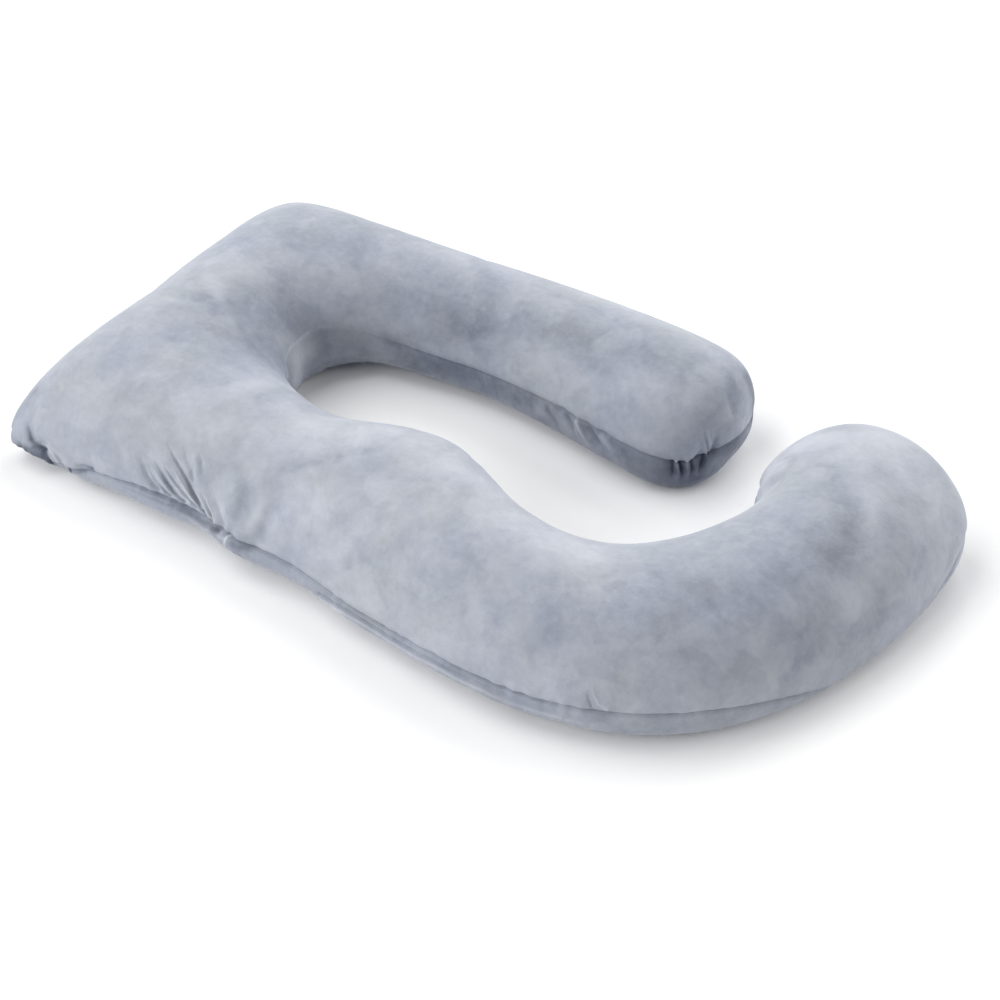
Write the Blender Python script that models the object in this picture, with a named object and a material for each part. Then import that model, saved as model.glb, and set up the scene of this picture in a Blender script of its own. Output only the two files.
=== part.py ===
"""A body pillow shaped like a letter G, lying on its back.

A square head block joins a straight leg on the far side (+Y) to a longer wavy leg on the
near side (-Y), whose end swells and hooks in towards the straight one. The cover is two
velvet panels sewn along one seam that runs all the way round, low on the sides. Filled, the
upper panel crowns over the seam and the lower one turns under it onto the floor.

The pillow is lofted over sections that follow its length from the straight leg's end, round
the head, to the curled end. Metres, +Z up, +X from the head to the legs' ends.
"""
import math
from collections import namedtuple

import bmesh
import bpy
from mathutils import Vector

# ---- driving dimensions ------------------------------------------------------------------

# One row for each section. On its outer side, then on its inner side: where the seam lies, its
# height, how far in from it the lower panel meets the floor, and how sharply the two panels
# meet there: at 1 the upper one comes down upright, and towards 2 it comes down on a slant.
# Then how high the filling crowns between the two sides, and how many ribs the loft has on the
# way to the next row.
Section = namedtuple("Section", "place outer_x outer_y outer_seam outer_tuck outer_edge "
                                "inner_x inner_y inner_seam inner_tuck inner_edge crown ribs")
SECTIONS = [
    Section("leg's end", 0.315, 0.263, 0.065, 0.05, 1.20, 0.315, 0.263, 0.065, 0.05, 1.20, 0.150, 5),
    Section("leg's end", 0.307, 0.323, 0.065, 0.05, 1.20, 0.302, 0.208, 0.065, 0.05, 1.20, 0.160, 3),
    Section("leg's end", 0.281, 0.366, 0.065, 0.05, 1.20, 0.273, 0.153, 0.065, 0.05, 1.20, 0.172, 3),
    Section("straight leg", 0.228, 0.394, 0.065, 0.05, 1.20, 0.225, 0.125, 0.070, 0.05, 1.30, 0.180, 3),
    Section("straight leg", 0.138, 0.408, 0.065, 0.05, 1.20, 0.138, 0.130, 0.075, 0.05, 1.40, 0.182, 3),
    Section("straight leg", 0.023, 0.412, 0.065, 0.05, 1.20, 0.023, 0.155, 0.075, 0.05, 1.40, 0.180, 3),
    Section("straight leg", -0.107, 0.412, 0.065, 0.05, 1.20, -0.112, 0.174, 0.070, 0.05, 1.40, 0.178, 3),
    Section("straight leg", -0.227, 0.410, 0.065, 0.05, 1.20, -0.222, 0.169, 0.070, 0.05, 1.40, 0.178, 3),
    Section("straight leg", -0.347, 0.408, 0.065, 0.05, 1.20, -0.302, 0.160, 0.078, 0.05, 1.40, 0.180, 3),
    Section("head", -0.477, 0.408, 0.065, 0.05, 1.20, -0.349, 0.146, 0.085, 0.04, 1.40, 0.184, 3),
    Section("head", -0.597, 0.413, 0.060, 0.05, 1.20, -0.377, 0.129, 0.090, 0.03, 1.40, 0.186, 3),
    Section("far corner", -0.680, 0.390, 0.060, 0.05, 1.20, -0.399, 0.112, 0.090, 0.02, 1.40, 0.187, 3),
    Section("head", -0.709, 0.313, 0.060, 0.05, 1.20, -0.411, 0.094, 0.090, 0.01, 1.40, 0.187, 3),
    Section("head", -0.711, 0.208, 0.060, 0.05, 1.20, -0.417, 0.074, 0.090, 0.01, 1.40, 0.187, 3),
    Section("head", -0.712, 0.088, 0.060, 0.05, 1.20, -0.415, 0.054, 0.090, 0.01, 1.40, 0.187, 3),
    Section("head", -0.707, -0.032, 0.060, 0.05, 1.20, -0.407, 0.034, 0.085, 0.01, 1.40, 0.187, 3),
    Section("head", -0.712, -0.152, 0.060, 0.06, 1.20, -0.397, 0.014, 0.085, 0.02, 1.40, 0.185, 3),
    Section("head", -0.714, -0.252, 0.055, 0.08, 1.30, -0.383, -0.006, 0.080, 0.03, 1.40, 0.181, 3),
    Section("near corner", -0.715, -0.316, 0.040, 0.10, 1.60, -0.369, -0.024, 0.080, 0.04, 1.40, 0.178, 3),
    Section("head", -0.678, -0.342, 0.036, 0.09, 1.50, -0.355, -0.034, 0.080, 0.04, 1.40, 0.176, 3),
    Section("head", -0.597, -0.343, 0.050, 0.07, 1.35, -0.333, -0.044, 0.075, 0.05, 1.30, 0.172, 3),
    Section("head", -0.497, -0.345, 0.055, 0.06, 1.35, -0.299, -0.058, 0.070, 0.05, 1.20, 0.170, 3),
    Section("wavy leg", -0.397, -0.344, 0.055, 0.05, 1.35, -0.261, -0.070, 0.070, 0.05, 1.20, 0.166, 3),
    Section("wavy leg", -0.297, -0.342, 0.050, 0.05, 1.35, -0.212, -0.079, 0.070, 0.05, 1.20, 0.164, 3),
    Section("wavy leg", -0.217, -0.360, 0.050, 0.05, 1.35, -0.162, -0.072, 0.070, 0.05, 1.20, 0.168, 3),
    Section("wavy leg", -0.117, -0.361, 0.053, 0.05, 1.35, -0.092, -0.050, 0.070, 0.05, 1.20, 0.176, 3),
    Section("wavy leg", 0.003, -0.382, 0.047, 0.05, 1.35, -0.017, -0.042, 0.070, 0.05, 1.20, 0.182, 3),
    Section("wavy leg", 0.123, -0.399, 0.050, 0.05, 1.35, 0.056, -0.072, 0.070, 0.05, 1.20, 0.184, 3),
    Section("wavy leg", 0.243, -0.410, 0.054, 0.05, 1.35, 0.133, -0.114, 0.070, 0.05, 1.20, 0.182, 3),
    Section("wavy leg", 0.353, -0.403, 0.058, 0.05, 1.35, 0.220, -0.136, 0.070, 0.05, 1.20, 0.180, 3),
    Section("wavy leg", 0.457, -0.372, 0.064, 0.05, 1.35, 0.295, -0.119, 0.070, 0.05, 1.20, 0.180, 3),
    Section("wavy leg", 0.549, -0.308, 0.062, 0.05, 1.35, 0.353, -0.071, 0.070, 0.05, 1.20, 0.182, 3),
    Section("wavy leg", 0.619, -0.214, 0.054, 0.05, 1.35, 0.389, -0.020, 0.070, 0.05, 1.20, 0.184, 3),
    Section("wavy leg", 0.665, -0.105, 0.038, 0.05, 1.35, 0.413, 0.026, 0.070, 0.05, 1.20, 0.186, 3),
    Section("curled end", 0.697, 0.010, 0.044, 0.05, 1.25, 0.419, 0.083, 0.070, 0.05, 1.20, 0.186, 3),
    Section("curled end", 0.713, 0.110, 0.055, 0.05, 1.20, 0.397, 0.142, 0.070, 0.05, 1.20, 0.182, 3),
    Section("curled end", 0.713, 0.202, 0.060, 0.05, 1.20, 0.392, 0.197, 0.065, 0.05, 1.20, 0.176, 3),
    Section("curled end", 0.689, 0.257, 0.060, 0.05, 1.20, 0.410, 0.250, 0.065, 0.05, 1.20, 0.170, 3),
    Section("curled end", 0.631, 0.283, 0.060, 0.05, 1.20, 0.458, 0.285, 0.060, 0.05, 1.20, 0.162, 5),
    Section("curled end", 0.549, 0.298, 0.060, 0.05, 1.20, 0.549, 0.298, 0.060, 0.05, 1.20, 0.156, 0),
]

# The main folds, as troughs in the cover. Each starts at the seam, where it is deepest, and
# fades out at its end; a negative depth raises a ridge.
Fold = namedtuple("Fold", "place width depth start middle end")
FOLDS = [
    Fold("waist fan", 0.006, 0.007,
         (-0.271, -0.348, 0.056), (-0.339, -0.324, 0.102), (-0.387, -0.303, 0.130)),
    Fold("waist fan", 0.005, 0.006,
         (-0.289, -0.344, 0.056), (-0.329, -0.332, 0.086), (-0.372, -0.318, 0.110)),
    Fold("waist fan", 0.006, 0.007,
         (-0.308, -0.343, 0.056), (-0.367, -0.333, 0.084), (-0.405, -0.322, 0.106)),
    Fold("waist fan", 0.007, 0.006,
         (-0.332, -0.343, 0.056), (-0.383, -0.341, 0.066), (-0.425, -0.333, 0.086)),
    Fold("waist fan", 0.006, 0.005,
         (-0.254, -0.352, 0.056), (-0.274, -0.340, 0.076), (-0.295, -0.329, 0.092)),
    Fold("waist", 0.012, 0.004,
         (-0.232, -0.358, 0.054), (-0.277, -0.332, 0.090), (-0.277, -0.312, 0.118)),
    Fold("waist", 0.016, 0.004,
         (-0.187, -0.361, 0.056), (-0.165, -0.334, 0.110), (-0.167, -0.292, 0.148)),
    Fold("near corner", 0.012, 0.016,
         (-0.622, -0.346, 0.044), (-0.641, -0.341, 0.054), (-0.662, -0.328, 0.072)),
    Fold("near corner", 0.010, 0.008,
         (-0.589, -0.344, 0.030), (-0.599, -0.344, 0.040), (-0.622, -0.343, 0.050)),
    Fold("leg's end", 0.006, 0.005,
         (0.249, 0.134, 0.070), (0.253, 0.138, 0.048), (0.254, 0.143, 0.022)),
    Fold("leg's end", 0.006, 0.006,
         (0.268, 0.148, 0.066), (0.270, 0.153, 0.045), (0.271, 0.160, 0.020)),
    Fold("leg's end", 0.007, 0.008,
         (0.286, 0.173, 0.064), (0.287, 0.176, 0.048), (0.285, 0.180, 0.024)),
    Fold("leg's end", 0.009, 0.006,
         (0.291, 0.178, 0.066), (0.287, 0.178, 0.094), (0.278, 0.178, 0.122)),
    Fold("leg's side", 0.007, 0.004,
         (0.051, 0.152, 0.074), (0.061, 0.148, 0.060), (0.081, 0.148, 0.034)),
    Fold("leg's side", 0.007, -0.004,
         (0.077, 0.145, 0.074), (0.091, 0.142, 0.056), (0.107, 0.143, 0.032)),
    Fold("leg's side", 0.007, 0.004,
         (0.097, 0.140, 0.074), (0.117, 0.136, 0.058), (0.141, 0.134, 0.038)),
    Fold("leg's side", 0.007, 0.004,
         (0.131, 0.133, 0.073), (0.157, 0.128, 0.060), (0.185, 0.127, 0.042)),
    Fold("wavy leg", 0.008, 0.004,
         (0.425, -0.386, 0.070), (0.417, -0.381, 0.092), (0.405, -0.377, 0.108)),
    Fold("curl's inside", 0.014, 0.006,
         (0.407, 0.088, 0.075), (0.435, 0.092, 0.122), (0.473, 0.100, 0.162)),
    Fold("curl's inside", 0.012, 0.005,
         (0.399, 0.138, 0.072), (0.436, 0.128, 0.138), (0.465, 0.128, 0.160)),
]
FOLD_REACH = 2.2        # a fold moves points as far off as this many times its width
FOLD_GRAIN = 0.007      # an edge in a fold's reach that is longer than this is halved,
FOLD_CUTS = 3           # up to this many times

CROWN_STEPS = 18        # faces across the upper panel, from seam to seam
FLANK_STEPS = 4         # faces down each side of the lower panel
FLOOR_STEPS = 2         # faces across its flat underside
BREADTH = 0.88          # power of the crown's profile across: below 1 it is broader than an ellipse
SEAM_DRAW = 0.005       # how far in the sewn edge is drawn between the two panels,
SEAM_DRAW_SHARE = 0.1   # or this share of the half-width where that is less
FLANK_REACH = 0.07      # a lower panel tucked less than this bulges out instead,
BULGE_SHARE = 0.3       # by this share of the difference
FULL_HALF_WIDTH = 0.13  # a rib narrower than twice this is crowned less
FLOOR_HALF_WIDTH = 0.1  # and one narrower than twice this is clear of the floor
END_ROUNDNESS = 1.6     # how fast the legs' ends reach their full height

VELVET = (0.36, 0.40, 0.48)
VELVET_ROUGHNESS = 0.9


def mirrored(rows, index):
    """The row at index, where past either end the seam comes back along its other side."""
    last = len(rows) - 1
    if 0 <= index <= last:
        return rows[index]
    row = rows[-index] if index < 0 else rows[2 * last - index]
    return row._replace(
        outer_x=row.inner_x, outer_y=row.inner_y, outer_seam=row.inner_seam,
        outer_tuck=row.inner_tuck, outer_edge=row.inner_edge,
        inner_x=row.outer_x, inner_y=row.outer_y, inner_seam=row.outer_seam,
        inner_tuck=row.outer_tuck, inner_edge=row.outer_edge)


def between(rows, index, share):
    """The section a share of the way from one row to the next, on a smooth curve through all."""
    four = [mirrored(rows, index + step) for step in (-1, 0, 1, 2)]
    weights = (
        0.5 * (-share + 2 * share ** 2 - share ** 3),
        0.5 * (2 - 5 * share ** 2 + 3 * share ** 3),
        0.5 * (share + 4 * share ** 2 - 3 * share ** 3),
        0.5 * (-share ** 2 + share ** 3),
    )
    sizes = [sum(weight * size for weight, size in zip(weights, column))
             for column in zip(*(row[1:-1] for row in four))]
    return Section(rows[index].place, *sizes, 0)


def rounded(half, full):
    """How much of its full height a rib has, from none at a point to all at full half-width."""
    return 1 - (1 - min(1, half / full)) ** END_ROUNDNESS


def rib(section):
    """The closed ring of points round one section: over the crown, then back underneath."""
    half = 0.5 * math.hypot(section.outer_x - section.inner_x, section.outer_y - section.inner_y)
    sunk = rounded(half, FLOOR_HALF_WIDTH)

    def mixed(inner, outer, across):
        return inner + (outer - inner) * (0.5 + 0.5 * across)

    def seam_height(across):
        return mixed(section.inner_seam, section.outer_seam, across)

    def point(across, height):
        return Vector((mixed(section.inner_x, section.outer_x, across),
                       mixed(section.inner_y, section.outer_y, across),
                       height))

    def crown_point(step):
        angle = math.pi * step / CROWN_STEPS
        across = math.copysign(abs(math.cos(angle)) ** BREADTH, math.cos(angle))
        if step in (0, CROWN_STEPS):
            across *= 1 - min(SEAM_DRAW / half, SEAM_DRAW_SHARE)
        edge = mixed(section.inner_edge, section.outer_edge, across)
        above = (section.crown - seam_height(0)) * rounded(half, FULL_HALF_WIDTH)
        return point(across, seam_height(across) + above * max(0, math.sin(angle)) ** edge)

    def flank_point(side, tuck, step):
        tuck = min(tuck, 0.8 * half)
        bulge = BULGE_SHARE * max(0, FLANK_REACH - tuck) * sunk
        angle = 0.5 * math.pi * step / FLANK_STEPS
        inboard = tuck * (1 - math.cos(angle)) - bulge * math.sin(2 * angle)
        return point(side * (1 - inboard / half), seam_height(side) * (1 - sunk * math.sin(angle)))

    crown = [crown_point(step) for step in range(CROWN_STEPS + 1)]
    inner = [flank_point(-1, section.inner_tuck, step) for step in range(1, FLANK_STEPS + 1)]
    outer = [flank_point(1, section.outer_tuck, step) for step in range(FLANK_STEPS, 0, -1)]
    floor = [inner[-1].lerp(outer[0], step / FLOOR_STEPS) for step in range(1, FLOOR_STEPS)]
    return crown + inner + floor + outer


def loft(rows):
    """The pillow's whole surface: ribs joined one to the next, drawn to a point at each end."""
    form = bmesh.new()
    rings = []
    for index, row in enumerate(rows[:-1]):
        for step in range(row.ribs):
            if index or step:
                ring = rib(between(rows, index, step / row.ribs))
                rings.append([form.verts.new(point) for point in ring])
    around = len(rings[0])
    for here, there in zip(rings, rings[1:]):
        for side in range(around):
            turn = (side + 1) % around
            form.faces.new((here[side], here[turn], there[turn], there[side]))
    for row, ring in ((rows[0], rings[0]), (rows[-1], rings[-1])):
        tip = form.verts.new((row.outer_x, row.outer_y, row.outer_seam))
        for side in range(around):
            form.faces.new((tip, ring[side], ring[(side + 1) % around]))
    bmesh.ops.recalc_face_normals(form, faces=form.faces[:])
    return form


def along(fold, point):
    """How far a point lies off a fold's line, and how far along it, from 0 at the seam to 1."""
    path = [Vector(corner) for corner in (fold.start, fold.middle, fold.end)]
    found = []
    for half, (near, far) in enumerate(zip(path, path[1:])):
        run = far - near
        share = min(1, max(0, (point - near).dot(run) / run.length_squared))
        found.append(((point - near - run * share).length, 0.5 * (half + share)))
    return min(found)


def refine(form, folds):
    """Cuts the faces near each fold small enough to carry it."""
    for _ in range(FOLD_CUTS):
        coarse = []
        for edge in form.edges:
            middle = edge.verts[0].co.lerp(edge.verts[1].co, 0.5)
            if edge.calc_length() > FOLD_GRAIN and any(
                    along(fold, middle)[0] < FOLD_REACH * fold.width for fold in folds):
                coarse.append(edge)
        bmesh.ops.subdivide_edges(
            form, edges=coarse, cuts=1, use_grid_fill=True, quad_corner_type="FAN")
    bmesh.ops.triangulate(form, faces=[face for face in form.faces if len(face.verts) > 4])


def raise_folds(form, folds):
    """Moves the surface in along its normal where a fold runs, and never below the floor.

    A face that a fold has bent is then split along its better diagonal.
    """
    form.normal_update()
    moves = []
    for vert in form.verts:
        depth = 0
        for fold in folds:
            distance, share = along(fold, vert.co)
            if distance < FOLD_REACH * fold.width:
                depth += fold.depth * math.exp(-(distance / fold.width) ** 2) * (1 - share ** 2)
        moves.append(vert.co - vert.normal * depth)
    for vert, moved in zip(form.verts, moves):
        vert.co = (moved.x, moved.y, max(0, moved.z))
    bmesh.ops.triangulate(form, faces=form.faces[:])


def velvet():
    """Short-pile blue-grey velvet."""
    material = bpy.data.materials.new("velvet")
    material.use_nodes = True
    shader = material.node_tree.nodes["Principled BSDF"]
    shader.inputs["Base Color"].default_value = (*VELVET, 1)
    shader.inputs["Roughness"].default_value = VELVET_ROUGHNESS
    shader.inputs["Metallic"].default_value = 0
    return material


for item in list(bpy.data.objects):
    bpy.data.objects.remove(item, do_unlink=True)

collection = bpy.data.collections.new("body pillow")
bpy.context.scene.collection.children.link(collection)

surface = loft(SECTIONS)
refine(surface, FOLDS)
raise_folds(surface, FOLDS)

# The origin lies on the floor under the middle of the pillow's box.
for axis in (0, 1):
    lowest = min(vert.co[axis] for vert in surface.verts)
    highest = max(vert.co[axis] for vert in surface.verts)
    for vert in surface.verts:
        vert.co[axis] -= 0.5 * (lowest + highest)

mesh = bpy.data.meshes.new("pillow")
surface.to_mesh(mesh)
surface.free()
mesh.materials.append(velvet())
mesh.shade_smooth()
pillow = bpy.data.objects.new("pillow", mesh)
collection.objects.link(pillow)
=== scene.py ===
"""The looks of a body pillow shaped like a letter G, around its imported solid.

The pillow lies on its back on a pale floor: a square head block, a straight leg on the far side
and a longer wavy leg on the near side whose end hooks in. Its cover is two panels of short-pile
blue-grey velvet, sewn along one seam low on the sides, and stuffed with loose fibre.
Metres, +Z up, +X from the head to the legs' ends.
"""
import math
from collections import namedtuple

import bmesh
import bpy
import numpy as np
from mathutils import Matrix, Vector, noise
from mathutils.bvhtree import BVHTree
from mathutils.kdtree import KDTree

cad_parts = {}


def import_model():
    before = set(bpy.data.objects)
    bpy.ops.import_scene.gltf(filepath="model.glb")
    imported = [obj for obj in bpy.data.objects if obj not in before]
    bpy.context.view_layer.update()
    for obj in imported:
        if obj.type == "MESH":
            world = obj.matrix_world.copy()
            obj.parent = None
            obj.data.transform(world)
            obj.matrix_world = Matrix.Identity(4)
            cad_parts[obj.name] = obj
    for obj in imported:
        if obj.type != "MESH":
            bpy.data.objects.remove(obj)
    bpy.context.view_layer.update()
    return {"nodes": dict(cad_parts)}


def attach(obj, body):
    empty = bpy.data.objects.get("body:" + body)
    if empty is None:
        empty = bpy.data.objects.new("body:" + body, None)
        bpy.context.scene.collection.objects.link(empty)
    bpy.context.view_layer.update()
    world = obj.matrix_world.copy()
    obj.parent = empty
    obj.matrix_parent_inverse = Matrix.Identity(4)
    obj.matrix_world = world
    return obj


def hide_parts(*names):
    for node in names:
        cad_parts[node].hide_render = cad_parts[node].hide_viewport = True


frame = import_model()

scene = bpy.context.scene
packed = frame["nodes"]["pillow"]

# ---- the camera --------------------------------------------------------------------------
# A long lens from the near side, 40 degrees above the floor, with the head block to the left
# and the legs' ends to the right. seen() gives what a pixel of the picture shows.

PICTURE = 1000                       # pixels, each way
LENS = 64.8                          # mm, on a sensor 36 mm wide
SENSOR = 36.0
AIM = Vector((0.0351, -0.0174, 0))   # where the middle of the picture meets the floor
AIM_DISTANCE = 2.8384
AZIMUTH = math.radians(32.1)
ELEVATION = math.radians(40)
MISS_START = 0.7            # the line of sight of a pixel beside the piece is searched from this
MISS_STEP = 0.01            # share of the aim distance on, in steps of this share
MISS_STEPS = 70


def toward(azimuth, elevation):
    """The direction of something seen at that bearing from the near side and that height."""
    return Vector((math.sin(azimuth) * math.cos(elevation),
                   -math.cos(azimuth) * math.cos(elevation),
                   math.sin(elevation)))


camera = bpy.data.objects.new("camera", bpy.data.cameras.new("camera"))
camera.data.lens = LENS
camera.data.sensor_width = SENSOR
camera.location = AIM + toward(AZIMUTH, ELEVATION) * AIM_DISTANCE
camera.rotation_euler = (math.pi / 2 - ELEVATION, 0, AZIMUTH)
scene.collection.objects.link(camera)
scene.camera = camera


def seen(tree, pixel):
    """Where the surface in a tree shows at a pixel, or its nearest place to a pixel beside it."""
    right = (pixel[0] / PICTURE - 0.5) * SENSOR
    up = (0.5 - pixel[1] / PICTURE) * SENSOR
    ray = (camera.rotation_euler.to_matrix() @ Vector((right, up, -LENS))).normalized()
    place = tree.ray_cast(camera.location, ray)[0]
    if place is None:
        steps = [camera.location + ray * AIM_DISTANCE * (MISS_START + MISS_STEP * step)
                 for step in range(MISS_STEPS)]
        place = min((tree.find_nearest(step) for step in steps), key=lambda found: found[3])[0]
    return place

# ---- the studio --------------------------------------------------------------------------
# A pale floor that runs out of the picture on all sides, in a white room, with four large soft
# lights round the pillow that also reach its sides, so that its shadows are faint and soft.

FLOOR_SIZE = 18.0           # metres, each way
FLOOR_TONE = (0.95, 0.95, 0.95)
ROOM_LIGHT = 0.067          # how much light the room's white walls give back,
ROOM_SHOWN = 0.92           # and how bright they look
SOFTBOX_SIZE = 12.0         # metres, each way
SOFTBOX_DISTANCE = 14.0     # from the pillow's middle
Softbox = namedtuple("Softbox", "place azimuth elevation power")    # degrees, watts
SOFTBOXES = [
    Softbox("left", -90, 50, 1380),
    Softbox("near on the left", -30, 25, 1720),
    Softbox("far side", 180, 30, 1530),
    Softbox("far on the right", 120, 25, 1200),
]


class Value:
    """A shader output that takes part in sums: each operator adds its Math node."""

    def __init__(self, finish, output):
        self.finish = finish
        self.output = output

    def math(self, operation, *values):
        return self.finish.node("ShaderNodeMath", dict(operation=operation),
                                  dict(enumerate(values)))

    def size(self):
        """The value without its sign."""
        return self.math("ABSOLUTE", self)

    def __add__(self, other):
        return self.math("ADD", self, other)

    __radd__ = __add__

    def __sub__(self, other):
        return self.math("SUBTRACT", self, other)

    def __rsub__(self, other):
        return self.math("SUBTRACT", other, self)

    def __mul__(self, other):
        return self.math("MULTIPLY", self, other)

    __rmul__ = __mul__


class Finish:
    """The looks of a material or of the room, round its one shader, and a method that adds any
    node."""

    def __init__(self, looks, shader, **uniform):
        self.looks = looks
        self.looks.use_nodes = True
        self.tree = self.looks.node_tree
        self.shader = self.tree.nodes[shader]
        for socket, value in uniform.items():
            self.shader.inputs[socket.replace("_", " ")].default_value = value

    def node(self, kind, settings=None, sockets=None, output=0):
        """One node: its settings, then the values or links of its sockets."""
        made = self.tree.nodes.new(kind)
        for name, setting in (settings or {}).items():
            if name == "stops":
                ramp = made.color_ramp
                while len(ramp.elements) < len(setting):
                    ramp.elements.new(1)
                for element, (position, colour) in zip(ramp.elements, setting):
                    element.position = position
                    element.color = (*colour, 1)
            else:
                setattr(made, name, setting)
        for name, value in (sockets or {}).items():
            self.feed(made.inputs[name], value)
        return Value(self, made.outputs[output])

    def feed(self, socket, value):
        """Gives a socket a link or a plain value."""
        if isinstance(value, Value):
            self.tree.links.new(value.output, socket)
        else:
            socket.default_value = value

    def wear(self, **varying):
        """Feeds the shader's own sockets with what varies."""
        for socket, value in varying.items():
            self.feed(self.shader.inputs[socket.replace("_", " ")], value)


floor_mesh = bpy.data.meshes.new("floor")
form = bmesh.new()
bmesh.ops.create_grid(form, x_segments=1, y_segments=1, size=FLOOR_SIZE / 2)
form.to_mesh(floor_mesh)
form.free()
floor = bpy.data.objects.new("floor", floor_mesh)
scene.collection.objects.link(floor)
paper = Finish(bpy.data.materials.new("paper"), "Principled BSDF", Base_Color=(*FLOOR_TONE, 1),
               Roughness=0.9, Specular_IOR_Level=0.1)
floor_mesh.materials.append(paper.looks)

room = Finish(bpy.data.worlds.new("room"), "Background", Color=(1, 1, 1, 1))
looked_at = room.node("ShaderNodeLightPath", output="Is Camera Ray")
room.wear(Strength=ROOM_LIGHT + looked_at * (ROOM_SHOWN - ROOM_LIGHT))
scene.world = room.looks

for light in SOFTBOXES:
    azimuth = math.radians(light.azimuth)
    elevation = math.radians(light.elevation)
    softbox = bpy.data.objects.new("softbox", bpy.data.lights.new("softbox", "AREA"))
    softbox.data.size = SOFTBOX_SIZE
    softbox.data.energy = light.power
    softbox.location = toward(azimuth, elevation) * SOFTBOX_DISTANCE
    softbox.rotation_euler = (math.pi / 2 - elevation, 0, azimuth)
    scene.collection.objects.link(softbox)
scene.view_settings.view_transform = "Standard"

# ---- the velvet cover --------------------------------------------------------------------
# Two panels of short-pile velvet cut to the same G, sewn along one seam and turned right side
# out over loose fibre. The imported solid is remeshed, puffed out by a short cloth simulation,
# and then given its seam, its gathers and the folds that the picture shows.

MERGED = 0.00001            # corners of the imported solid's triangles that are closer are one
QUAD_ANGLE = math.radians(60)   # two triangles that bend less than this are one face again
SMOOTHINGS = 2              # subdivisions that round a form before it is measured
VOXEL = 0.009
PRESSURE = 4.0
CLOTH_MASS = 0.3            # kg for each point, as the simulation has it,
CLOTH_QUALITY = 5           # and its steps in each frame
SLACK = 0.004               # how much larger the velvet is cut than the form it covers
PUFF_FRAMES = 12
PUFF_LIMIT = 0.003          # the farthest that the filling moves a point
PUFF_LEAST = 1e-9           # a point that moves less hasn't moved
HELD_BY_SEAM = 0.008        # points nearer the seam than this stay where they are,
HELD_BY_FLOOR = 0.003       # and those lower than this
SEAM_BLEND = 0.022          # the cover is the solid's own form at the seam, and puffed well past this

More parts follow.
